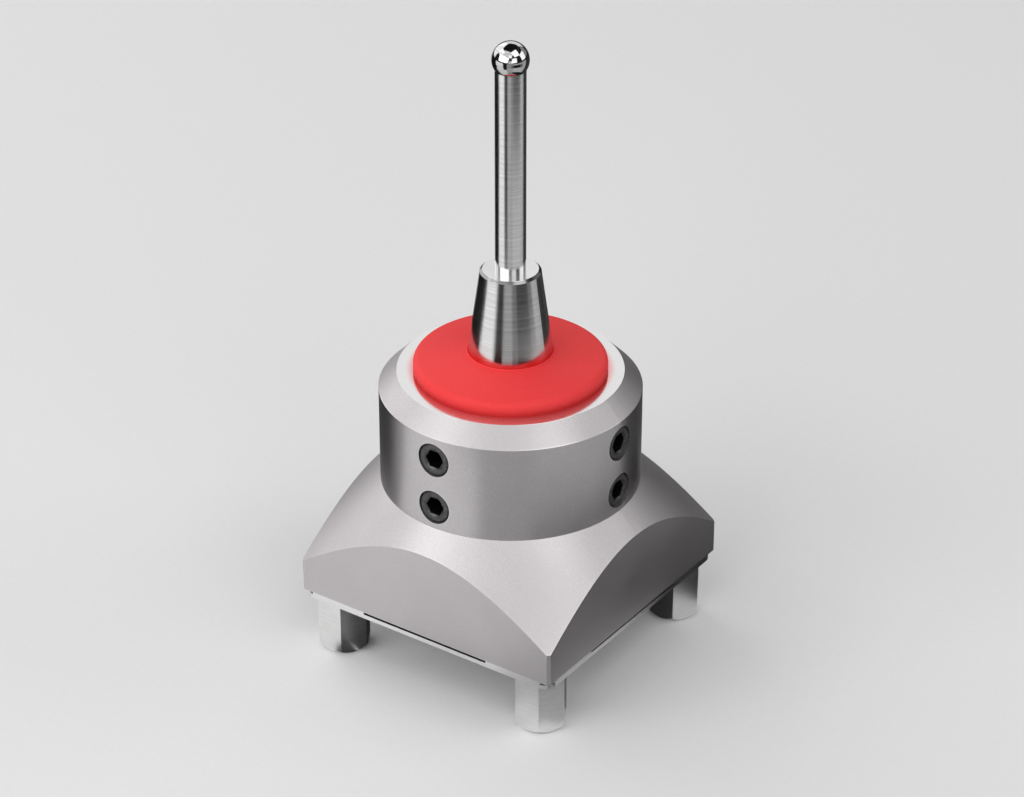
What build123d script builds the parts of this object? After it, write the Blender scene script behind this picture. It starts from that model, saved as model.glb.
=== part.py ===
from build123d import *
import math
import os

# Centering probe on a square holder, in millimetres.
# The frame: +Z up along the stylus, the floor at Z = 0 under the four posts, the front face towards -Y.

# Support posts: hexagon bar with a turned lower end and a stud that screws into the holder
post_across_flats = 8.0
post_length = 10.0
post_edge_distance = 4.9
post_end_chamfer = 0.95
stud_radius = 2.5
stud_depth = 7.5
thread_gap = 0.05

# Centring plate: thin spring steel, relieved under the middle of each side
plate_thickness = 1.4
plate_inset = 0.3
plate_corner_radius = 2.0
relief_width = 24.7
relief_depth = 0.65
relief_reach = 11.7
flexure_radius = 17.0
flexure_depth = 12.1
flexure_slot_width = 1.2
flexure_half_angle = 33.0
reference_slot_width = 3.0
reference_slot_length = 7.0
reference_slot_margin = 2.0

# Button-head screws that hold the plate
plate_screw_spacing = 5.4
plate_screw_radius = 1.5
plate_screw_depth = 6.0
plate_screw_head_radius = 2.85
plate_screw_head_height = 1.65
plate_screw_socket_across_flats = 2.0
plate_screw_socket_depth = 1.0
plate_hole_gap = 0.2

# Holder body: a square base that rises in a cone to a round boss
body_width = 50.0
body_corner_chamfer = 0.5
body_corner_height = 5.7
cone_angle = 45.0
boss_radius = 21.6
boss_top_chamfer = 3.0
body_height = 38.85
body_floor_thickness = 10.0
draw_bore_radius = 5.1
draw_bore_chamfer = 0.6

# Probe sleeve: hangs by its flange in the bore of the boss
sleeve_radius = 13.0
sleeve_wall = 2.0
sleeve_flange_width = 1.9
sleeve_flange_thickness = 1.0
sleeve_lip_width = 1.4
sleeve_lip_thickness = 1.85
sleeve_adjust_gap = 0.5
sleeve_end_gap = 0.5

# Set screws that align and clamp the sleeve
set_screw_radius = 2.93
set_screw_hole_gap = 0.05
set_screw_recess = 0.25
set_screw_tip_gap = 0.05
set_screw_tip_radius = 1.9
set_screw_face_chamfer = 0.35
set_screw_socket_across_flats = 3.0
set_screw_socket_depth = 3.0
set_screw_socket_mouth = 0.2
set_screw_upper_height = 31.8
set_screw_row_spacing = 8.8

# Sleeve cap: the threaded plug under the press spring
cap_thickness = 3.5
cap_spanner_hole_radius = 0.9
cap_spanner_hole_offset = 6.5
cap_spanner_hole_depth = 1.8

# Cradle: slides in the sleeve and carries the gimbal
running_gap = 0.05
cradle_wall = 2.15
cradle_guide_length = 11.0
cradle_tail_wall = 1.2
cradle_tail_length = 6.0
cradle_well_gap = 1.2
cradle_well_step = 7.0
cradle_floor_thickness = 1.5
cradle_spigot_radius = 1.9
cradle_spigot_height = 1.2

# Gimbal ring and its four pivot pins
pivot_depth = 2.0
gimbal_gap = 0.4
gimbal_wall = 2.4
gimbal_height = 3.2
pin_radius = 0.8
pin_press_gap = 0.01
pin_running_gap = 0.03
pin_end_gap = 0.25
hub_pin_reach = 2.6

# Stylus hub, stem and ball
hub_top_height = 18.25
hub_top_radius = 4.95
hub_seal_radius = 6.95
hub_top_chamfer = 0.4
hub_skirt_depth = 1.4
hub_neck_gap = 0.8
hub_neck_end = 6.5
hub_spigot_radius = 1.1
hub_spigot_length = 1.0
stem_radius = 2.5
stem_length = 36.4
stem_tail_radius = 2.0
stem_tail_length = 7.5
stem_tail_end_gap = 0.5
ball_radius = 3.0
ball_spigot_radius = 1.2
ball_spigot_length = 2.0
braze_gap = 0.02

# Springs
press_spring_gap = 0.65
press_spring_wire = 1.5
press_spring_turns = 4.0
centring_spring_radius = 2.6
centring_spring_wire = 0.8
centring_spring_turns = 4.5
centring_spring_gap = 0.55

# Rubber diaphragm over the sleeve flange
rubber_gap = 0.1
diaphragm_rim_wall = 0.9
diaphragm_edge_height = 2.15
diaphragm_edge_radius = 0.9
diaphragm_seal_height = 3.55
diaphragm_seal_gap = 0.15
diaphragm_thickness = 0.95
diaphragm_shoulder_radius = 13.6

# Heights worked out from the sizes above
plate_bottom = post_length
body_bottom = plate_bottom + plate_thickness
body_top = body_bottom + body_height
bore_floor = body_bottom + body_floor_thickness
flange_top = body_top + sleeve_flange_thickness
cradle_top = flange_top - sleeve_lip_thickness
pivot_height = cradle_top - pivot_depth
sleeve_end = bore_floor + sleeve_end_gap
cap_top = sleeve_end + cap_thickness
spring_seat = cradle_top - cradle_guide_length
cradle_end = spring_seat - cradle_tail_length
hub_top = body_top + hub_top_height
seal_height = body_top + diaphragm_seal_height
neck_end = pivot_height - hub_neck_end
ball_height = hub_top + stem_length

# Radii and places worked out the same way, from the outside inwards
bore_radius = sleeve_radius + sleeve_adjust_gap
sleeve_flange_radius = sleeve_radius + sleeve_flange_width
sleeve_bore_radius = sleeve_radius - sleeve_wall
sleeve_lip_radius = sleeve_bore_radius - sleeve_lip_width
cradle_radius = sleeve_bore_radius - running_gap
cradle_bore_radius = cradle_radius - cradle_wall
gimbal_outer_radius = cradle_bore_radius - gimbal_gap
gimbal_inner_radius = gimbal_outer_radius - gimbal_wall
hub_neck_radius = gimbal_inner_radius - hub_neck_gap
cradle_well_radius = hub_neck_radius + cradle_well_gap
cradle_tail_radius = cradle_well_radius + cradle_tail_wall
press_spring_radius = cradle_tail_radius + press_spring_gap + press_spring_wire / 2
plate_width = body_width - 2 * plate_inset
post_offset = body_width / 2 - post_edge_distance
plate_screw_offset = post_offset - plate_screw_spacing
flexure_middle = plate_width / 2 - flexure_depth + flexure_radius
set_screw_heights = {
    "upper": body_bottom + set_screw_upper_height,
    "lower": body_bottom + set_screw_upper_height - set_screw_row_spacing,
}
corners = {
    "front_left": (-1, -1),
    "front_right": (1, -1),
    "rear_right": (1, 1),
    "rear_left": (-1, 1),
}
sides = {"front": -90, "right": 0, "rear": 90, "left": 180}


def rod(radius, bottom, top, x=0.0, y=0.0):
    return Pos(x, y, bottom) * Cylinder(
        radius, top - bottom, align=(Align.CENTER, Align.CENTER, Align.MIN)
    )


def turned(*points):
    # a solid of revolution about Z from points given as radius and height
    return revolve(Plane.XZ * make_face(Polyline(*points, close=True)), Axis.Z)


def cross_rod(radius, start, end, height, angle=0.0):
    # a rod that lies in the plane of the given height, from one radius out to another
    lying = Pos(start, 0, height) * Rot(0, 90, 0)
    return Rot(0, 0, angle) * lying * Cylinder(
        radius, end - start, align=(Align.CENTER, Align.CENTER, Align.MIN)
    )


def hexagon(across_flats, bottom, top):
    # two of the flats face -Y and +Y
    face = RegularPolygon(across_flats / 2, 6, major_radius=False)
    return Pos(0, 0, bottom) * extrude(face, top - bottom)


def coil(radius, wire, turns, bottom, top):
    # a spring of square wire whose ends are ground flat at the two seats
    pitch = (top - bottom) / turns
    line = Pos(0, 0, bottom - pitch / 4) * Helix(pitch, top - bottom + pitch / 2, radius)
    section = Plane(origin=line @ 0, x_dir=(1, 0, 0), z_dir=line % 0) * Rectangle(wire, wire)
    wound = sweep(section, path=line, is_frenet=True)
    return wound & rod(radius + wire, bottom, top)


def holder_body():
    reach = math.hypot(body_width / 2, body_width / 2 - body_corner_chamfer)
    slope = math.tan(math.radians(cone_angle))
    root = body_corner_height + (reach - boss_radius) * slope
    outline = turned(
        (0, 0),
        (reach + 1, 0),
        (reach + 1, body_corner_height - slope),
        (boss_radius, root),
        (boss_radius, body_height - boss_top_chamfer),
        (boss_radius - boss_top_chamfer, body_height),
        (0, body_height),
    )
    square = extrude(Rectangle(body_width, body_width), body_height)
    square = chamfer(square.edges().filter_by(Axis.Z), body_corner_chamfer)
    body = Pos(0, 0, body_bottom) * (square & outline)
    body -= rod(bore_radius, bore_floor, body_top)
    body -= rod(draw_bore_radius, body_bottom, bore_floor)
    body -= Pos(0, 0, body_bottom) * Cone(
        draw_bore_radius + draw_bore_chamfer,
        draw_bore_radius,
        draw_bore_chamfer,
        align=(Align.CENTER, Align.CENTER, Align.MIN),
    )
    for height in set_screw_heights.values():
        for angle in sides.values():
            body -= cross_rod(
                set_screw_radius + set_screw_hole_gap, sleeve_radius, boss_radius + 1, height, angle
            )
    for x, y in corners.values():
        body -= rod(
            stud_radius + thread_gap,
            body_bottom,
            body_bottom + stud_depth + 1,
            x * post_offset,
            y * post_offset,
        )
        body -= rod(
            plate_screw_radius + thread_gap,
            body_bottom,
            body_bottom + plate_screw_depth + 1,
            x * plate_screw_offset,
            y * plate_screw_offset,
        )
    return body


def centring_plate():
    plate = RectangleRounded(plate_width, plate_width, plate_corner_radius)
    plate -= Circle(draw_bore_radius + draw_bore_chamfer)
    for x, y in corners.values():
        plate -= Pos(x * post_offset, y * post_offset) * Circle(stud_radius + plate_hole_gap)
        plate -= Pos(x * plate_screw_offset, y * plate_screw_offset) * Circle(
            plate_screw_radius + plate_hole_gap
        )
    arc = CenterArc(
        (flexure_middle, 0), flexure_radius, 180 - flexure_half_angle, 2 * flexure_half_angle
    )
    flexure = SlotArc(arc, flexure_slot_width)
    slot_middle = plate_width / 2 - reference_slot_margin - reference_slot_length / 2
    reference = Pos(slot_middle, 0) * SlotOverall(reference_slot_length, reference_slot_width)
    for angle in sides.values():
        plate -= Rot(0, 0, angle) * flexure
        plate -= Rot(0, 0, angle) * reference
    plate = Pos(0, 0, plate_bottom) * extrude(plate, plate_thickness)
    relief = Pos(plate_width / 2 - relief_reach, 0, body_bottom - relief_depth) * Box(
        relief_reach + 1,
        relief_width,
        relief_depth + 1,
        align=(Align.MIN, Align.CENTER, Align.MIN),
    )
    for angle in sides.values():
        plate -= Rot(0, 0, angle) * relief
    return plate


def support_post(x, y):
    corner = post_across_flats / math.sqrt(3)
    bar = hexagon(post_across_flats, 0, plate_bottom)
    bar &= turned(
        (0, 0),
        (corner - post_end_chamfer, 0),
        (corner, post_end_chamfer),
        (corner + 1, post_end_chamfer),
        (corner + 1, plate_bottom),
        (0, plate_bottom),
    )
    stud_end = body_bottom + stud_depth
    stud = rod(stud_radius, plate_bottom, stud_end)
    stud = chamfer(stud.edges().group_by(Axis.Z)[-1], stud_radius * 0.2)
    return Pos(x * post_offset, y * post_offset, 0) * (bar + stud)


def plate_screw(x, y):
    bottom = plate_bottom - plate_screw_head_height
    head = rod(plate_screw_head_radius, bottom, plate_bottom)
    head = chamfer(head.edges().group_by(Axis.Z)[0], plate_screw_head_height * 0.6)
    shank = rod(plate_screw_radius, plate_bottom, body_bottom + plate_screw_depth)
    shank = chamfer(shank.edges().group_by(Axis.Z)[-1], plate_screw_radius * 0.25)
    socket = hexagon(plate_screw_socket_across_flats, bottom, bottom + plate_screw_socket_depth)
    return Pos(x * plate_screw_offset, y * plate_screw_offset, 0) * (head + shank - socket)


def set_screw(angle, height):
    # made standing with its face up, then laid down to point its socket outwards
    tip = sleeve_radius + set_screw_tip_gap
    face = boss_radius - set_screw_recess
    tip_slope = set_screw_radius - set_screw_tip_radius
    screw = turned(
        (0, tip),
        (set_screw_tip_radius, tip),
        (set_screw_radius, tip + tip_slope),
        (set_screw_radius, face - set_screw_face_chamfer),
        (set_screw_radius - set_screw_face_chamfer, face),
        (0, face),
    )
    socket = hexagon(set_screw_socket_across_flats, face - set_screw_socket_depth, face)
    screw -= Rot(0, 0, 90) * socket
    corner = set_screw_socket_across_flats / math.sqrt(3)
    screw -= Pos(0, 0, face) * Cone(
        corner - set_screw_socket_mouth,
        corner + set_screw_socket_mouth,
        set_screw_socket_mouth,
        align=(Align.CENTER, Align.CENTER, Align.MAX),
    )
    return Pos(0, 0, height) * Rot(0, 0, angle) * Rot(0, 90, 0) * screw


def probe_sleeve():
    return turned(
        (sleeve_bore_radius, sleeve_end),
        (sleeve_radius, sleeve_end),
        (sleeve_radius, body_top),
        (sleeve_flange_radius, body_top),
        (sleeve_flange_radius, flange_top),
        (sleeve_lip_radius, flange_top),
        (sleeve_lip_radius, cradle_top),
        (sleeve_bore_radius, cradle_top),
    )


def sleeve_cap():
    cap = rod(sleeve_bore_radius - thread_gap, sleeve_end, cap_top)
    cap = chamfer(cap.edges(), cap_thickness * 0.12)
    for angle in (0, 180):
        cap -= Rot(0, 0, angle) * rod(
            cap_spanner_hole_radius,
            sleeve_end,
            sleeve_end + cap_spanner_hole_depth,
            cap_spanner_hole_offset,
        )
    return cap


def cradle():
    well_top = cradle_top - cradle_well_step
    floor_top = cradle_end + cradle_floor_thickness
    spigot_top = floor_top + cradle_spigot_height
    body = turned(
        (0, cradle_end),
        (cradle_tail_radius, cradle_end),
        (cradle_tail_radius, spring_seat),
        (cradle_radius, spring_seat),
        (cradle_radius, cradle_top),
        (cradle_bore_radius, cradle_top),
        (cradle_bore_radius, well_top),
        (cradle_well_radius, well_top),
        (cradle_well_radius, floor_top),
        (cradle_spigot_radius, floor_top),
        (cradle_spigot_radius, spigot_top),
        (0, spigot_top),
    )
    for angle in (0, 180):
        body -= cross_rod(
            pin_radius + pin_running_gap, cradle_well_radius, sleeve_radius, pivot_height, angle
        )
    return body


def gimbal_ring():
    low = pivot_height - gimbal_height / 2
    high = pivot_height + gimbal_height / 2
    ring = rod(gimbal_outer_radius, low, high) - rod(gimbal_inner_radius, low, high)
    for angle in sides.values():
        ring -= cross_rod(
            pin_radius + pin_press_gap, hub_neck_radius, sleeve_radius, pivot_height, angle
        )
    return ring


def cradle_pin(angle):
    start = gimbal_inner_radius + pin_end_gap
    return cross_rod(pin_radius, start, cradle_radius - pin_end_gap, pivot_height, angle)


def hub_pin(angle):
    end = gimbal_outer_radius - pin_end_gap
    return cross_rod(pin_radius, hub_pin_reach, end, pivot_height, angle)


def stylus_hub():
    skirt = seal_height - hub_skirt_depth
    slope = (hub_seal_radius - hub_top_radius) / (hub_top - seal_height)
    skirt_radius = hub_seal_radius + slope * hub_skirt_depth
    hub = turned(
        (0, neck_end - hub_spigot_length),
        (hub_spigot_radius, neck_end - hub_spigot_length),
        (hub_spigot_radius, neck_end),
        (hub_neck_radius, neck_end),
        (hub_neck_radius, skirt),
        (skirt_radius, skirt),
        (hub_top_radius + slope * hub_top_chamfer, hub_top - hub_top_chamfer),
        (hub_top_radius - hub_top_chamfer, hub_top),
        (0, hub_top),
    )
    tail = stem_tail_length + stem_tail_end_gap
    hub -= rod(stem_tail_radius + thread_gap, hub_top - tail, hub_top)
    for angle in (sides["front"], sides["rear"]):
        hub -= cross_rod(
            pin_radius + pin_running_gap,
            hub_pin_reach - pin_end_gap,
            gimbal_inner_radius,
            pivot_height,
            angle,
        )
    return hub


def stylus_stem():
    seat = Pos(0, 0, ball_height) * Sphere(ball_radius + braze_gap)
    stem = rod(stem_radius, hub_top, ball_height) - seat
    stem = [part for part in stem.solids() if part.center().Z < ball_height][0]
    stem += rod(stem_tail_radius, hub_top - stem_tail_length, hub_top)
    spigot_end = ball_height - ball_radius + ball_spigot_length
    return stem + rod(ball_spigot_radius, hub_top + stem_radius, spigot_end)


def stylus_ball():
    ball = Pos(0, 0, ball_height) * Sphere(ball_radius)
    spigot_end = ball_height - ball_radius + ball_spigot_length
    return ball - rod(
        ball_spigot_radius + braze_gap, ball_height - 2 * ball_radius, spigot_end + braze_gap
    )


def press_spring():
    return coil(press_spring_radius, press_spring_wire, press_spring_turns, cap_top, spring_seat)


def centring_spring():
    bottom = cradle_end + cradle_floor_thickness
    top = neck_end - centring_spring_gap
    return coil(
        centring_spring_radius, centring_spring_wire, centring_spring_turns, bottom, top
    )


def diaphragm():
    inner_wall = sleeve_flange_radius + rubber_gap
    outer_wall = inner_wall + diaphragm_rim_wall
    edge_top = body_top + diaphragm_edge_height
    seal = hub_seal_radius + diaphragm_seal_gap
    under = seal_height - diaphragm_thickness
    points = [
        (outer_wall, body_top),
        (outer_wall, edge_top - diaphragm_edge_radius),
        (outer_wall - diaphragm_edge_radius, edge_top),
        (diaphragm_shoulder_radius, edge_top),
        (seal, seal_height),
        (seal, under),
        (diaphragm_shoulder_radius, flange_top),
        (inner_wall, flange_top),
        (inner_wall, body_top),
    ]
    rim = [
        Line(points[0], points[1]),
        RadiusArc(points[1], points[2], -diaphragm_edge_radius),
        Polyline(*points[2:], points[0]),
    ]
    return revolve(Plane.XZ * make_face(rim), Axis.Z)


parts = {
    "holder_body": holder_body(),
    "centring_plate": centring_plate(),
    "probe_sleeve": probe_sleeve(),
    "sleeve_cap": sleeve_cap(),
    "cradle": cradle(),
    "gimbal_ring": gimbal_ring(),
    "stylus_hub": stylus_hub(),
    "stylus_stem": stylus_stem(),
    "stylus_ball": stylus_ball(),
    "press_spring": press_spring(),
    "centring_spring": centring_spring(),
    "diaphragm": diaphragm(),
}
for name, (x, y) in corners.items():
    parts[f"support_post_{name}"] = support_post(x, y)
    parts[f"plate_screw_{name}"] = plate_screw(x, y)
for side, angle in sides.items():
    for row, height in set_screw_heights.items():
        parts[f"set_screw_{side}_{row}"] = set_screw(angle, height)
for side in ("right", "left"):
    parts[f"cradle_pin_{side}"] = cradle_pin(sides[side])
for side in ("front", "rear"):
    parts[f"hub_pin_{side}"] = hub_pin(sides[side])

os.makedirs("parts", exist_ok=True)
for name, shape in parts.items():
    export_step(shape, f"parts/{name}.step")
print(f"{len(parts)} nodes, {ball_height + ball_radius:.2f} mm tall")
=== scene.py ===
import math

import bmesh
import bpy
from mathutils import Matrix, Vector


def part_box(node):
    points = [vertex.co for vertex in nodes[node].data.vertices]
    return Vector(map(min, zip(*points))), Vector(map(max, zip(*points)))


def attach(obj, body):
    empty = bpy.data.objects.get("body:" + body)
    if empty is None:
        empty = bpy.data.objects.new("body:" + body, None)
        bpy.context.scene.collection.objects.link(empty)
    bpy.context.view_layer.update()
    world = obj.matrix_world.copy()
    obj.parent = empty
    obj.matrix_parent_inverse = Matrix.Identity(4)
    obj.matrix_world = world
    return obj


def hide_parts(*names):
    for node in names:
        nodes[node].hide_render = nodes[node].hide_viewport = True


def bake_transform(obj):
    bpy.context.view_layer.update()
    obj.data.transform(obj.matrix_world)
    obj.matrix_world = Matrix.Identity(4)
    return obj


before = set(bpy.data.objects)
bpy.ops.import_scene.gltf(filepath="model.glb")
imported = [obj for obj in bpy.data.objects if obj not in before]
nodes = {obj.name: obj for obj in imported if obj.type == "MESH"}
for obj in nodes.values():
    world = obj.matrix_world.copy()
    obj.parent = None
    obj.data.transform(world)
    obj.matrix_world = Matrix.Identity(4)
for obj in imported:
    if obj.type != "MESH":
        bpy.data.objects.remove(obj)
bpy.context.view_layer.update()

mm = 0.001
samePlace = 1e-8  # in metres: a point this close to a cut lies on it
print("frame loaded,", len(nodes), "nodes")

# camera: looks down at the front corner
shot = {
    "place": (0.27017, -0.38480, 0.31465),
    "right": (0.81870, 0.57422, 0.0),
    "up": (-0.28613, 0.40795, 0.86701),
    "back": (0.49785, -0.70982, 0.49829),
    "lens": 116.36,
    "sensor": 36.0,
    "near": 0.01,
    "far": 20,
}


def makeCamera():
    lensData = bpy.data.cameras.new("camera")
    lensData.lens = shot["lens"]
    lensData.sensor_width = shot["sensor"]
    lensData.sensor_fit = "HORIZONTAL"
    lensData.clip_start = shot["near"]
    lensData.clip_end = shot["far"]
    camera = bpy.data.objects.new("camera", lensData)
    bpy.context.scene.collection.objects.link(camera)
    turn = Matrix((shot["right"], shot["up"], shot["back"])).transposed().to_4x4()
    camera.matrix_world = Matrix.Translation(shot["place"]) @ turn
    bpy.context.scene.camera = camera


makeCamera()
print("camera placed")


# a node's output that can stand in a sum, so that a mask is written as one line
class Socket:
    def __init__(self, finish, link):
        self.finish = finish
        self.link = link

    def out(self, name):
        return Socket(self.finish, self.link.node.outputs[name])

    def maths(self, operation, *others):
        terms = dict(enumerate((self,) + others))
        return self.finish.node("ShaderNodeMath", {"operation": operation}, terms)

    def __add__(self, other):
        return self.maths("ADD", other)

    def __sub__(self, other):
        return self.maths("SUBTRACT", other)

    def __mul__(self, other):
        return self.maths("MULTIPLY", other)

    def __truediv__(self, other):
        return self.maths("DIVIDE", other)

    def __rsub__(self, other):
        return (self * -1) + other

    __radd__ = __add__
    __rmul__ = __mul__

    def size(self):
        return self.maths("ABSOLUTE")

    def root(self):
        return self.maths("SQRT")

    def least(self, other):
        return self.maths("MINIMUM", other)

    def most(self, other):
        return self.maths("MAXIMUM", other)

    def rise(self, start, end, low=0.0, high=1.0):
        # low before start and high after end, with a soft passage between the two
        return self.finish.node(
            "ShaderNodeMapRange",
            {"interpolation_type": "SMOOTHSTEP"},
            {"Value": self, "From Min": start, "From Max": end, "To Min": low, "To Max": high},
        )


# one material: its own tree, its shader and the helpers that add nodes to it
class Finish:
    def __init__(self, name):
        self.material = bpy.data.materials.new(name)
        self.material.use_nodes = True
        self.tree = self.material.node_tree
        self.tree.nodes.clear()
        self.shader = self.node("ShaderNodeBsdfPrincipled").link.node
        surface = Socket(self, self.shader.outputs[0])
        self.node("ShaderNodeOutputMaterial", {}, {"Surface": surface})
        self.place = self.node("ShaderNodeTexCoord").out("Object")
        apart = self.node("ShaderNodeSeparateXYZ", {}, {0: self.place})
        self.x, self.y, self.z = apart.out("X"), apart.out("Y"), apart.out("Z")
        self.radius = (self.x * self.x + self.y * self.y).root()

    def feed(self, socket, value):
        # an output is linked, a plain value is set on the node's own socket
        if isinstance(value, Socket):
            self.tree.links.new(value.link, socket)
        else:
            socket.default_value = value

    def node(self, kind, settings=None, values=None):
        made = self.tree.nodes.new(kind)
        for name, value in (settings or {}).items():
            setattr(made, name, value)
        for name, value in (values or {}).items():
            self.feed(made.inputs[name], value)
        return Socket(self, made.outputs[0]) if len(made.outputs) else None

    def stretched(self, scale):
        values = {"Vector": self.place, "Scale": scale}
        return self.node("ShaderNodeMapping", {"vector_type": "POINT"}, values)

    def grain(self, scale, detail=2.0, roughness=0.5, vector=None):
        values = {
            "Vector": vector or self.place,
            "Scale": scale,
            "Detail": detail,
            "Roughness": roughness,
        }
        return self.node("ShaderNodeTexNoise", {}, values)

    def blend(self, mask, first, second):
        # colour: first where the mask is 0, second where it is 1
        values = {0: mask, 6: first, 7: second}
        mixed = self.node("ShaderNodeMix", {"data_type": "RGBA"}, values)
        return Socket(self, mixed.link.node.outputs[2])

    def bump(self, height, depth, strength):
        # depth in millimetres for a height that goes from 0 to 1
        values = {"Height": height, "Distance": depth * mm, "Strength": strength}
        return self.node("ShaderNodeBump", {}, values)

    def shade(self, values):
        # sets the shader's sockets and gives back the finished material
        for name, value in values.items():
            self.feed(self.shader.inputs[name], value)
        return self.material


def grey(level, warmth=0.0):
    return (level * (1 + warmth), level, level * (1 - warmth), 1)


def dress(material, *names):
    for name in names:
        nodes[name].material_slots[0].material = material


def addPiece(name, shape, material):
    # turns a bmesh into a smooth-shaded object of the scene
    mesh = bpy.data.meshes.new(name)
    shape.to_mesh(mesh)
    shape.free()
    mesh.materials.append(material)
    mesh.shade_smooth()
    piece = bpy.data.objects.new(name, mesh)
    bpy.context.scene.collection.objects.link(piece)
    return piece


def drawLine(shape, points):
    # joins points given as (radius, height) in millimetres, in the plane of the axis
    verts = [shape.verts.new((r * mm, 0, z * mm)) for r, z in points]
    edges = [shape.edges.new(pair) for pair in zip(verts, verts[1:])]
    return verts, edges


def drawCircle(shape, segments, radius):
    # a wire's outline round the origin, standing in the plane of the axis
    made = bmesh.ops.create_circle(shape, segments=segments, radius=radius * mm)
    upright = Matrix.Rotation(math.pi / 2, 3, "X")
    bmesh.ops.rotate(shape, cent=(0, 0, 0), matrix=upright, verts=made["verts"])
    return made["verts"]


def turnRound(shape, steps):
    bmesh.ops.spin(
        shape,
        geom=shape.verts[:] + shape.edges[:],
        cent=(0, 0, 0),
        axis=(0, 0, 1),
        angle=2 * math.pi,
        steps=steps,
        use_merge=True,
    )


def cutAt(shape, height, keep=None):
    # cuts a ring at this height in millimetres and, if asked, keeps only what is above or below
    bmesh.ops.bisect_plane(
        shape,
        geom=shape.verts[:] + shape.edges[:] + shape.faces[:],
        dist=samePlace,
        plane_co=(0, 0, height * mm),
        plane_no=(0, 0, 1),
        clear_inner=keep == "above",
        clear_outer=keep == "below",
    )


# the stage: a pale floor and soft boxes round the object, all aimed at its middle
stage = {
    "floorSize": 1.3,
    "floorHeight": -0.00005,  # just under the posts' feet
    "floorColour": (0.75, 0.75, 0.75, 1),
    "speckColour": (0.76, 0.76, 0.76, 1),
    "speckScale": 900.0,
    "paleColour": (0.72, 0.72, 0.725, 1),
    "dimColour": (0.10, 0.10, 0.10, 1),
    "aim": (0, 0, 0.05),
}
softBoxes = {
    # azimuth from the front side towards the right, height above the horizon,
    # distance, width, height, brightness
    "keyFront": (-12, 22, 1.12, 1.26, 0.65, 2.9),
    "fillLeft": (-54, 44, 1.12, 0.54, 0.54, 1.35),
    "sideLeft": (-98, 28, 1.12, 1.00, 1.12, 1.34),
    "overhead": (3, 55, 1.12, 1.32, 0.68, 0.95),
    "frontFill": (58, 18, 1.12, 0.65, 0.52, 1.75),
    "highRight": (85, 55, 1.12, 0.68, 0.68, 1.9),
    "sideRight": (124, 22, 1.12, 0.65, 0.65, 1.65),
    "rearRight": (158, 22, 1.12, 0.65, 0.65, 0.32),
    "backWall": (213, 30, 1.12, 1.30, 0.65, 1.0),
}
# felt cards that only reflections show, as black and white cards round a bright object
cardSteps = 12
flat = -0.03  # height in mm of the cards that lie on the floor
cards = {
    # azimuths of the two ends, (radius, height) of the two edges in mm, grey level
    "room": (46, 381, (2000, 1), (2000, 2300), 0.06),
    "roof": (0, 360, (1, 2300), (2000, 2300), 0.06),
    "floorNearLeft": (-150, -64, (36, flat), (70, flat), 0.12),
    "floorLeft": (-150, -74, (70, flat), (130, flat), 0.01),
    "floorLeftEdge": (-74, -60, (70, flat), (130, flat), 0.25),
    "floorFarLeft": (-118, -60, (130, flat), (1990, flat), 0.01),
    "floorFarBack": (-150, -118, (130, flat), (1990, flat), 0.3),
    "floorNearKey": (-64, 10, (36, flat), (70, flat), 0.8),
    "floorMiddleKey": (-60, 10, (70, flat), (125, flat), 0.84),
    "floorKey": (-60, -13, (125, flat), (1990, flat), 0.92),
    "floorLineStart": (-13, -8, (125, flat), (1990, flat), 0.45),
    "floorLine": (-8, 13, (125, flat), (1990, flat), 0.01),
    "floorFront": (10, 50, (75, flat), (125, flat), 0.47),
    "floorMiddleFront": (13, 50, (125, flat), (195, flat), 0.47),
    "floorFarFront": (13, 50, (195, flat), (1990, flat), 0.36),
    "floorNearFront": (10, 50, (36, flat), (75, flat), 0.36),
    "floorRight": (50, 110, (75, flat), (1990, flat), 0.62),
    "floorFarRight": (110, 135, (75, flat), (1990, flat), 0.55),
    "floorNearRight": (50, 74, (46, flat), (75, flat), 0.05),
    "floorPostRight": (50, 66, (34, flat), (46, flat), 0.42),
    "floorUnderRight": (66, 170, (36, flat), (46, flat), 0.01),
    "floorDarkRight": (74, 170, (46, flat), (75, flat), 0.01),
    "floorBackRight": (135, 165, (75, flat), (1990, flat), 0.04),
    "floorBack": (165, 210, (75, flat), (1990, flat), 0.06),
    "floorUnderBack": (170, 210, (36, flat), (75, flat), 0.2),
    "underCard": (0, 360, (1, flat), (27, flat), 0.04),
    "underFront": (-38, 24, (27, flat), (34, flat), 0.04),
    "hubLeft": (-120, -53, (180, 1), (180, 24), 0.01),
    "bandStart": (40, 54, (180, 8), (180, 70), 0.2),
    "bandCard": (54, 94, (180, 8), (180, 70), 0.02),
    "bandEnd": (94, 110, (180, 8), (180, 70), 0.15),
    "cameraCard": (26, 45, (430, 215), (430, 380), 0.04),
}


def makeFloor():
    shape = bmesh.new()
    bmesh.ops.create_grid(shape, x_segments=1, y_segments=1, size=stage["floorSize"] / 2)
    bmesh.ops.translate(shape, vec=(0, 0, stage["floorHeight"]), verts=shape.verts)
    floor = bpy.data.objects.new("floor", bpy.data.meshes.new("floor"))
    shape.to_mesh(floor.data)
    shape.free()
    bpy.context.scene.collection.objects.link(floor)
    paper = Finish("floorPaper")
    speck = paper.grain(stage["speckScale"], 3.0)
    tone = paper.blend(speck.rise(0.3, 0.7), stage["floorColour"], stage["speckColour"])
    paper.shade({"Base Color": tone, "Roughness": 1.0, "Specular IOR Level": 0.0})
    floor.data.materials.append(paper.material)


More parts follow.
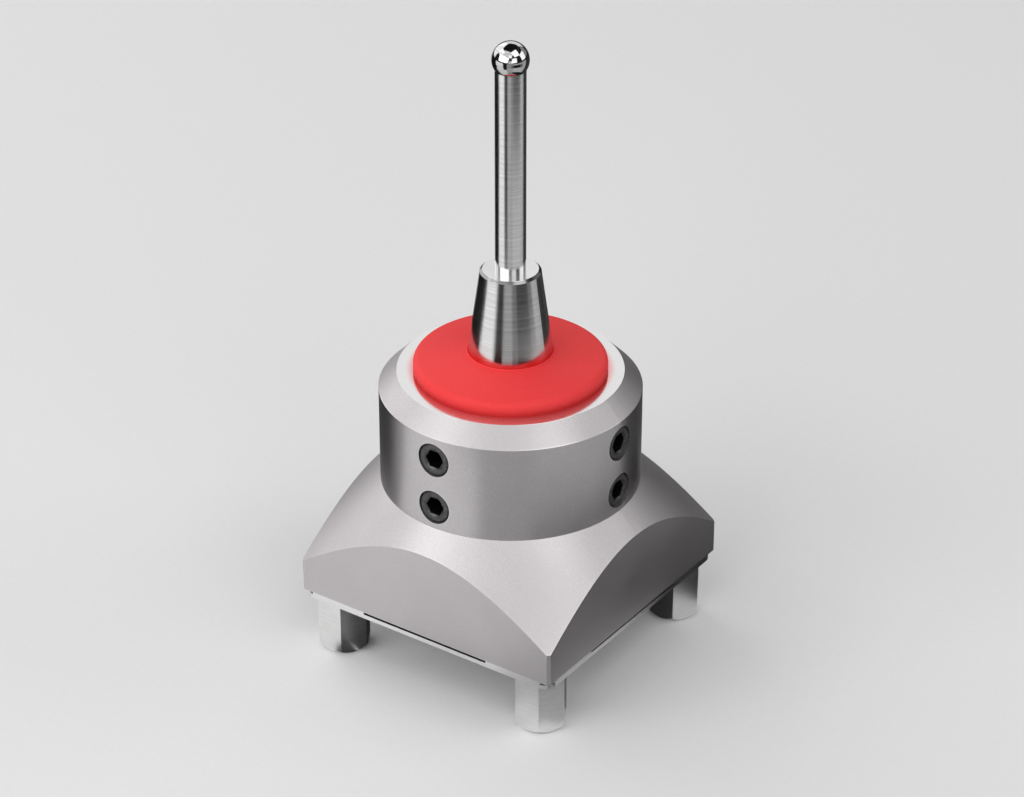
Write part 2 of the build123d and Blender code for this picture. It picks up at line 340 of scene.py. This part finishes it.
def makeWorld():
    # pale where a ray meets it from the camera, a mirror or glass; dim as a lamp
    world = bpy.data.worlds.new("world")
    world.use_nodes = True
    tree = world.node_tree
    path = tree.nodes.new("ShaderNodeLightPath")
    seen = path.outputs["Is Camera Ray"]
    for name in ("Is Glossy Ray", "Is Transmission Ray"):
        either = tree.nodes.new("ShaderNodeMath")
        either.operation = "MAXIMUM"
        tree.links.new(seen, either.inputs[0])
        tree.links.new(path.outputs[name], either.inputs[1])
        seen = either.outputs[0]
    mix = tree.nodes.new("ShaderNodeMix")
    mix.data_type = "RGBA"
    mix.inputs[6].default_value = stage["dimColour"]
    mix.inputs[7].default_value = stage["paleColour"]
    tree.links.new(seen, mix.inputs[0])
    tree.links.new(mix.outputs[2], tree.nodes["Background"].inputs["Color"])
    tree.nodes["Background"].inputs["Strength"].default_value = 1.0
    return world


def makeSoftBox(name, azimuth, elevation, distance, width, height, brightness):
    lamp = bpy.data.lights.new(name, "AREA")
    lamp.shape = "RECTANGLE"
    lamp.size, lamp.size_y = width, height
    lamp.energy = brightness * math.pi * width * height
    box = bpy.data.objects.new(name, lamp)
    bpy.context.scene.collection.objects.link(box)
    a, e = math.radians(azimuth), math.radians(elevation)
    away = Vector((math.sin(a) * math.cos(e), -math.cos(a) * math.cos(e), math.sin(e)))
    box.location = Vector(stage["aim"]) + away * distance
    box.rotation_mode = "QUATERNION"
    box.rotation_quaternion = (-away).to_track_quat("-Z", "Y")
    box.visible_camera = False


def makeCard(name, start, end, low, high, level):
    shape = bmesh.new()
    verts, edges = drawLine(shape, (low, high))
    toStart = Matrix.Rotation(math.radians(start - 90), 3, "Z")
    bmesh.ops.rotate(shape, cent=(0, 0, 0), matrix=toStart, verts=verts)
    bmesh.ops.spin(
        shape,
        geom=verts + edges,
        cent=(0, 0, 0),
        axis=(0, 0, 1),
        angle=math.radians(end - start),
        steps=cardSteps,
    )
    card = bpy.data.objects.new(name, bpy.data.meshes.new(name))
    shape.to_mesh(card.data)
    shape.free()
    bpy.context.scene.collection.objects.link(card)
    felt = Finish(name)
    felt.shade({"Base Color": grey(level), "Roughness": 1.0, "Specular IOR Level": 0.0})
    card.data.materials.append(felt.material)
    card.visible_camera = False
    card.visible_diffuse = False
    card.visible_shadow = False
    card.visible_transmission = False


makeFloor()
bpy.context.scene.world = makeWorld()
for name, box in softBoxes.items():
    makeSoftBox(name, *box)
for name, card in cards.items():
    makeCard(name, *card)
bpy.context.scene.view_settings.view_transform = "Standard"
print("stage made, with", len(softBoxes), "soft boxes and", len(cards), "cards")

# holder: bead-blasted stainless steel with smoother edges that are painted lighter as painted
# highlights, a ground top ring, and the boot's red painted into that ring as a painted reflection
holder = {
    "roughness": 0.44,
    "darkTone": (0.545, 0.520, 0.527, 1),
    "lightTone": (0.630, 0.606, 0.615, 1),
    "cloudTone": (0.550, 0.520, 0.524, 1),
    "edgeHighlightTone": grey(0.74),
    "ringTone": grey(0.74, 0.004),
    "blastScale": 4200.0,
    "blastDepth": 0.012,
    "cloudScale": 85.0,
    # how much smoother than the rest these places are
    "edgePolish": 0.05,
    "ringPolish": 0.30,
    "wallPolish": 0.12,
    # sizes of the solid in mm
    "halfWidth": 25.0,
    "cornerReach": 35.0018,
    "bottom": 11.4,
    "cornerHeight": 5.7,
    "bossRadius": 21.6,
    "topChamfer": 3.0,
    "bossFoot": 30.5,
    "top": 50.25,
    "screwRows": (43.2, 34.4),
    "screwHole": 2.98,
    # where the marks begin and end, in mm
    "edgeWidth": 0.12,
    "edgeCore": 0.02,
    "bottomCore": 0.05,
    "cornerInset": (0.75, 0.5),
    "holeBreak": (0.06, 0.16),
    "holeWall": (21.5, 21.58),
    "bossWall": (21.4, 21.55),
    "footFade": 0.2,
    "ringSkin": (0.03, 0.01),
    # painted reflection: the boot's red painted into the ground ring, strongest next to the boot
    "redReflectionReach": (15.8, 17.3),
    "redReflectionStrength": 0.62,
    "paintedRedReflection": (0.85, 0.12, 0.13, 1),
}


def fromScrewAxis(f):
    # distance in mm from the axis of the nearest set screw
    upper, lower = holder["screwRows"]
    across, z = f.x.size().least(f.y.size()) / mm, f.z / mm
    row = (z - upper).size().least((z - lower).size())
    return (across * across + row * row).root()


def edgeHighlightsAndPolish(f, x, y, z, radius):
    # 1 on the edges, which are painted lighter as painted highlights and made smoother, and on
    # painted highlight rings round the set-screw holes; less on the cone's and the boss's
    width, core = holder["edgeWidth"], holder["edgeCore"]
    side = holder["halfWidth"] - x.most(y)
    coneHeight = holder["bottom"] + holder["cornerHeight"] + holder["cornerReach"] - radius
    coneEdge = (side + (z - coneHeight).size()).rise(0.3 * width, 1.6 * width, 1, 0)
    cornerStart, cornerEnd = (2 * holder["halfWidth"] - inset for inset in holder["cornerInset"])
    cornerEdge = (x + y).rise(cornerStart, cornerEnd)
    bottomEdge = (z - holder["bottom"] + side).rise(holder["bottomCore"], width, 1, 0)
    fromBossTop = (z - (holder["top"] - holder["topChamfer"])).size()
    fromBossTop = fromBossTop + (radius - holder["bossRadius"]).size()
    bossEdge = fromBossTop.rise(core, width, 1, 0)
    fromTop = (z - holder["top"]).size()
    fromTop = fromTop + (radius - holder["bossRadius"] + holder["topChamfer"]).size()
    topEdge = fromTop.rise(core, width, 1, 0)
    holeEdge = (fromScrewAxis(f) - holder["screwHole"]).rise(*holder["holeBreak"], 1, 0)
    holeEdge = holeEdge * radius.rise(*holder["holeWall"])
    softEdges = coneEdge.most(bossEdge).most(topEdge) * 0.25
    return softEdges.most(cornerEdge).most(bottomEdge).most(holeEdge)


def blastedSteel():
    f = Finish("blastedSteel")
    x, y, z = f.x.size() / mm, f.y.size() / mm, f.z / mm
    radius = f.radius / mm
    edges = edgeHighlightsAndPolish(f, x, y, z, radius)
    ringStart, ringEnd = (holder["top"] - depth for depth in holder["ringSkin"])
    ring = z.rise(ringStart, ringEnd)
    wall = (z - holder["bossFoot"]).rise(0, holder["footFade"]) * radius.rise(*holder["bossWall"])
    blast = f.grain(holder["blastScale"], 3.0, 0.6)
    cloud = f.grain(holder["cloudScale"], 3.0, 0.55)
    tone = f.blend(blast.rise(0.3, 0.72), holder["darkTone"], holder["lightTone"])
    tone = f.blend(cloud.rise(0.35, 0.7) * 0.4, tone, holder["cloudTone"])
    # painted highlight: the edges and the rings round the set-screw holes are painted lighter
    tone = f.blend(edges * 0.5, tone, holder["edgeHighlightTone"])
    tone = f.blend(ring, tone, holder["ringTone"])
    # painted reflection of the boot's red in the ground ring
    paintedRedReflection = ring * radius.rise(*holder["redReflectionReach"], holder["redReflectionStrength"], 0)
    tone = f.blend(paintedRedReflection, tone, holder["paintedRedReflection"])
    roughness = holder["roughness"] + (cloud - 0.5) * 0.12 + (blast - 0.5) * 0.1
    roughness = roughness - edges * holder["edgePolish"] - ring * holder["ringPolish"]
    roughness = roughness - wall * holder["wallPolish"]
    return f.shade({
        "Base Color": tone,
        "Metallic": 1.0 - ring * 0.06,
        "Roughness": roughness,
        "Normal": f.bump(blast * (1 - ring), holder["blastDepth"], 0.35),
    })


dress(blastedSteel(), "holder_body")
print("holder dressed")

# plate and posts: ground steel; the relief under the plate's edges is painted dark, as painted
# shade
plate = {
    "level": 0.86,
    "roughness": 0.3,
    "grindDepth": 0.0012,
    "grindScale": (120, 9000, 9000),
    "reliefFloor": 10.75,
    "reliefStart": 12.9,
    "reliefEnd": 24.66,
    "top": 11.4,
    "reliefPaintedShade": grey(0.05),
}
post = {"level": 0.82, "roughness": 0.32, "grindDepth": 0.001, "grindScale": (500, 500, 2600)}
grinding = {"dark": 0.95, "light": 1.03, "warmth": 0.006, "cloudScale": 120.0, "swing": 0.06}


def reliefShadeMask(f, look):
    # 1 on the floor and walls of the relief, where the painted shade goes, 0 on the plate's ground
    # faces
    x, y, z = f.x.size() / mm, f.y.size() / mm, f.z / mm
    out = x.most(y)
    reliefShade = (z - look["reliefFloor"]).rise(-0.02, -0.01)
    reliefShade = reliefShade * (z - look["top"]).rise(-0.02, -0.01, 1, 0)
    reliefShade = reliefShade * out.rise(look["reliefStart"], look["reliefStart"] + 0.05)
    return reliefShade * out.rise(look["reliefEnd"], look["reliefEnd"] + 0.02, 1, 0)


def groundSteel(name, look):
    # fine grinding marks, long in the direction that has the smallest grindScale
    f = Finish(name)
    marks = f.grain(1.0, 4.0, 0.6, f.stretched(look["grindScale"]))
    cloud = f.grain(grinding["cloudScale"], 2.0)
    dark = grey(look["level"] * grinding["dark"], grinding["warmth"])
    tone = f.blend(marks.rise(0.3, 0.7), dark, grey(look["level"] * grinding["light"]))
    if "reliefFloor" in look:
        # painted shade: the relief under the plate's edges is darkened
        tone = f.blend(reliefShadeMask(f, look) * 0.9, tone, look["reliefPaintedShade"])
    swing = grinding["swing"]
    return f.shade({
        "Base Color": tone,
        "Metallic": 1.0,
        "Roughness": look["roughness"] + (marks - 0.5) * swing + (cloud - 0.5) * swing,
        "Normal": f.bump(marks, look["grindDepth"], 0.4),
    })


dress(groundSteel("plateSteel", plate), "centring_plate")
posts = [name for name in nodes if name.startswith("support_post")]
dress(groundSteel("postSteel", post), *posts)
print("plate and", len(posts), "posts dressed")

# turned pieces: grey level, roughness, depth of the tool marks in mm, and how far they
# draw a reflection out
hub = {
    "level": 0.72,
    "roughness": 0.185,
    "markDepth": 0.0014,
    "streak": 0.0,
    "foot": 54.0,
    "polished": 57.0,
    "gloss": 0.1,
    # the foot's painted reflection of the boot's red, and below, the rim's painted shade
    "redReflectionEnd": 55.5,
    "paintedRedReflection": (0.80, 0.06, 0.065, 1),
    "rim": 68.1,
    "top": 68.5,
    "rimPaintedShade": grey(0.3),
}
stem = {"level": 0.73, "roughness": 0.2, "markDepth": 0.0002, "streak": 0.3}
ball = {"level": 0.58, "roughness": 0.09, "markDepth": 0.0002, "streak": 0.0}
sleeve = {"level": 0.72, "roughness": 0.3, "markDepth": 0.006, "streak": 0.85}
gimbal = {"level": 0.56, "roughness": 0.28, "markDepth": 0.005, "streak": 0.85}
cradle = {"level": 0.42, "roughness": 0.3, "markDepth": 0.005, "streak": 0.85, "warmth": 0.32}
pin = {"level": 0.75, "roughness": 0.12, "markDepth": 0.001, "streak": 0.85}
wire = {"level": 0.42, "roughness": 0.3, "markDepth": 0.003, "streak": 0.85}
toolMarks = {
    "fine": (24, 24, 5200),
    "broad": (16, 16, 2400),
    "spread": (0.42, 0.58),
    "dark": 0.86,
    "light": 1.1,
}


def turnedSteel(name, look):
    # rings of fine tool marks round the axis
    f = Finish(name)
    rings = f.grain(1.0, 4.0, 0.6, f.stretched(toolMarks["fine"]))
    broad = f.grain(1.0, 3.0, 0.55, f.stretched(toolMarks["broad"]))
    level, warmth, roughness = look["level"], look.get("warmth", 0.0), look["roughness"]
    dark, light = grey(level * toolMarks["dark"], warmth), grey(level * toolMarks["light"], warmth)
    tone = f.blend((rings * 0.5 + broad * 0.5).rise(*toolMarks["spread"]), dark, light)
    if "paintedRedReflection" in look:
        # the foot is painted with the boot's red, a painted reflection, and is made smoother where
        # the lip rubs it; the rim is painted dark, a painted shade
        height = f.z / mm
        foot = (height + (rings - 0.5) * 1.2).rise(look["foot"], look["redReflectionEnd"], 0.8, 0)
        rim = height.rise(look["rim"] - 0.02, look["rim"] + 0.02)
        rim = rim * height.rise(look["top"] - 0.03, look["top"] - 0.01, 1, 0)
        tone = f.blend(rim, f.blend(foot, tone, look["paintedRedReflection"]), look["rimPaintedShade"])
        roughness = roughness - height.rise(look["foot"], look["polished"], look["gloss"], 0)
    return f.shade({
        "Base Color": tone,
        "Metallic": 1.0,
        "Roughness": roughness + (rings - 0.5) * 0.10 + (broad - 0.5) * 0.06,
        "Anisotropic": look["streak"],
        "Anisotropic Rotation": 0.25,
        "Normal": f.bump(rings, look["markDepth"], 0.5),
    })


dress(turnedSteel("hubSteel", hub), "stylus_hub")
dress(turnedSteel("stemSteel", stem), "stylus_stem")
dress(turnedSteel("ballChrome", ball), "stylus_ball")
dress(turnedSteel("sleeveAluminium", sleeve), "probe_sleeve", "sleeve_cap")
dress(turnedSteel("gimbalSteel", gimbal), "gimbal_ring")
dress(turnedSteel("bearingBronze", cradle), "cradle")
pins = [name for name in nodes if "_pin_" in name]
dress(turnedSteel("pinSteel", pin), *pins)
dress(turnedSteel("springSteel", wire), "centring_spring")
print("stylus, gimbal and sleeve dressed")

# screws: black oxide, with the sockets painted near black as painted shade
screw = {
    "darkTone": grey(0.065),
    "lightTone": grey(0.115, 0.01),
    "socketPaintedShade": grey(0.003),
    "roughness": 0.36,
    "speckScale": 2600.0,
    "speckDepth": 0.01,
    "mouth": 21.1,
    "corner": 1.78,
}


def blackOxide():
    f = Finish("blackOxide")
    speck = f.grain(screw["speckScale"], 3.0, 0.6)
    along = f.x.size().most(f.y.size()) / mm
    # painted shade: the inside of each hex socket is darkened near black
    inside = fromScrewAxis(f).rise(screw["corner"] - 0.1, screw["corner"], 1, 0)
    inside = inside * along.rise(screw["mouth"] - 0.1, screw["mouth"], 1, 0)
    tone = f.blend(speck.rise(0.35, 0.75), screw["darkTone"], screw["lightTone"])
    tone = f.blend(inside, tone, screw["socketPaintedShade"])
    return f.shade({
        "Base Color": tone,
        "Metallic": 0.7,
        "Roughness": screw["roughness"] + (speck - 0.5) * 0.2 + inside * 0.3,
        "Specular IOR Level": 0.3,
        "Normal": f.bump(speck, screw["speckDepth"], 0.3),
    })


screws = [name for name in nodes if "_screw_" in name]
dress(blackOxide(), *screws)
print(len(screws), "screws dressed")

# boot: one thin rubber skin round the hub; three rings, because it crosses three joints
boot = {
    "tone": (0.83, 0.052, 0.055, 1),
    "deepTone": (0.76, 0.043, 0.047, 1),
    "worn": (0.84, 0.066, 0.066, 1),
    "roughness": 0.55,
    "shine": 0.12,
    "grainScale": 3000.0,
    "grainDepth": 0.01,
    "cloudScale": 160.0,
    # sizes in mm, from the hidden edge round the rim and in to the hub
    "tuck": 14.4,
    "wall": 15.0,
    "outside": 15.9,
    "inside": 7.05,
    "foot": 50.25,
    "grip": 51.3,
    "shoulder": 52.36,
    "innerHeight": 53.68,
    "slope": 0.125,
    "crest": (14.0, 0.30),  # radius, and height above the shoulder
    "curve": (12.4, 0.21),  # radius, and depth below the straight part
    "straight": 11.0,
    "cornerRadius": 0.9,
    # heights of the three rings, each cut into even bands between them
    "slide": (52.42, 53.3975),
    "swingFront": (53.3975, 53.5475),
    "swingSide": (53.5475, 53.66),
    "rings": 14,
    "folds": 4,
    "steps": 128,
}


def redRubber():
    f = Finish("redRubber")
    fine = f.grain(boot["grainScale"], 3.0, 0.6)
    cloud = f.grain(boot["cloudScale"], 2.0)
    tone = f.blend(fine.rise(0.35, 0.75) * 0.5, boot["tone"], boot["deepTone"])
    tone = f.blend(cloud.rise(0.4, 0.75) * 0.25, tone, boot["worn"])
    return f.shade({
        "Base Color": tone,
        "Roughness": boot["roughness"] + (cloud - 0.5) * 0.1,
        "Specular IOR Level": boot["shine"],
        "Normal": f.bump(fine, boot["grainDepth"], 0.3),
    })


def bootSkin(low=None, high=None):
    # the whole skin, cut off below low and above high
    shape = bmesh.new()
    crestRadius, crestRise = boot["crest"]
    curveRadius, curveDrop = boot["curve"]
    crest = boot["shoulder"] + crestRise
    straight = boot["innerHeight"] - boot["slope"] * (boot["straight"] - boot["inside"])
    verts, edges = drawLine(
        shape,
        (
            (boot["tuck"], boot["grip"]),
            (boot["wall"], boot["grip"]),
            (boot["wall"], boot["foot"]),
            (boot["outside"], boot["foot"]),
            (boot["outside"], boot["shoulder"]),
            (crestRadius, crest),
            (curveRadius, straight - curveDrop),
            (boot["straight"], straight),
            (boot["inside"], boot["innerHeight"]),
        ),
    )
    bmesh.ops.bevel(
        shape,
        geom=[verts[4]],
        offset=boot["cornerRadius"] * mm,
        offset_type="OFFSET",
        affect="VERTICES",
        segments=8,
        profile=0.5,
        material=-1,
    )
    turnRound(shape, boot["steps"])
    for i in range(boot["rings"]):
        cutAt(shape, crest + i * (straight - crest) / boot["rings"])
    for start, end in (boot["slide"], boot["swingFront"], boot["swingSide"]):
        for i in range(boot["folds"] + 1):
            cutAt(shape, start + (end - start) * i / boot["folds"])
    if low:
        cutAt(shape, low, "above")
    if high:
        cutAt(shape, high, "below")
    bmesh.ops.recalc_face_normals(shape, faces=shape.faces[:])
    top = max(shape.faces, key=lambda face: face.calc_center_median().z)
    if top.normal.z < 0:
        bmesh.ops.reverse_faces(shape, faces=shape.faces[:])
    return shape


rubber = redRubber()
lowerCut, upperCut = boot["swingFront"][0], boot["swingSide"][0]
bootOuter = addPiece("boot_outer", bootSkin(high=lowerCut), rubber)
bootMiddle = addPiece("boot_middle", bootSkin(lowerCut, upperCut), rubber)
bootInner = addPiece("boot_inner", bootSkin(low=upperCut), rubber)
for piece, lower, upper, heights in (
    (bootOuter, "holder", "slider", boot["slide"]),
    (bootMiddle, "slider", "gimbal", boot["swingFront"]),
    (bootInner, "gimbal", "stylus", boot["swingSide"]),
):
    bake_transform(piece)
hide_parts("diaphragm")

# lip: the thick edge of the boot, close round the hub
lip = {"radius": 7.08, "height": 53.68, "bead": 0.17, "segments": 14}


def bootLip():
    shape = bmesh.new()
    verts = drawCircle(shape, lip["segments"], lip["bead"])
    bmesh.ops.translate(shape, vec=(lip["radius"] * mm, 0, lip["height"] * mm), verts=verts)
    turnRound(shape, boot["steps"])
    bmesh.ops.recalc_face_normals(shape, faces=shape.faces[:])
    return shape


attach(addPiece("boot_lip", bootLip(), rubber), "stylus")
print("boot made, in three rings and a lip")

# press spring: round wire, its two ends ground flat, hidden in the sleeve
pressSpring = {"wire": 1.5, "turns": 4.0, "groundTurns": 0.5, "segments": 12, "steps": 40}


def roundSpring():
    low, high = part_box("press_spring")
    wireRadius, groundTurns = pressSpring["wire"] / 2, pressSpring["groundTurns"]
    radius = high.x - wireRadius * mm
    pitch = (high.z - low.z) / pressSpring["turns"]
    turns = pressSpring["turns"] + groundTurns
    steps = round(turns * pressSpring["steps"])
    shape = bmesh.new()
    verts = drawCircle(shape, pressSpring["segments"], wireRadius)
    below = low.z - pitch * groundTurns / 2
    bmesh.ops.translate(shape, vec=(radius, 0, below), verts=verts)
    bmesh.ops.spin(
        shape,
        geom=shape.verts[:] + shape.edges[:],
        cent=(0, 0, 0),
        axis=(0, 0, 1),
        dvec=(0, 0, pitch * turns / steps),
        angle=2 * math.pi * turns,
        steps=steps,
    )
    cutAt(shape, low.z / mm, "above")
    cutAt(shape, high.z / mm, "below")
    openEdges = [edge for edge in shape.edges if edge.is_boundary]
    bmesh.ops.holes_fill(shape, edges=openEdges, sides=0)
    bmesh.ops.recalc_face_normals(shape, faces=shape.faces[:])
    return shape, low.z, high.z


springShape, springLow, springHigh = roundSpring()
springWire = turnedSteel("springWire", wire)
spring = addPiece("press_spring_wire", springShape, springWire)
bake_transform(spring)
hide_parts("press_spring")
print("press spring made")
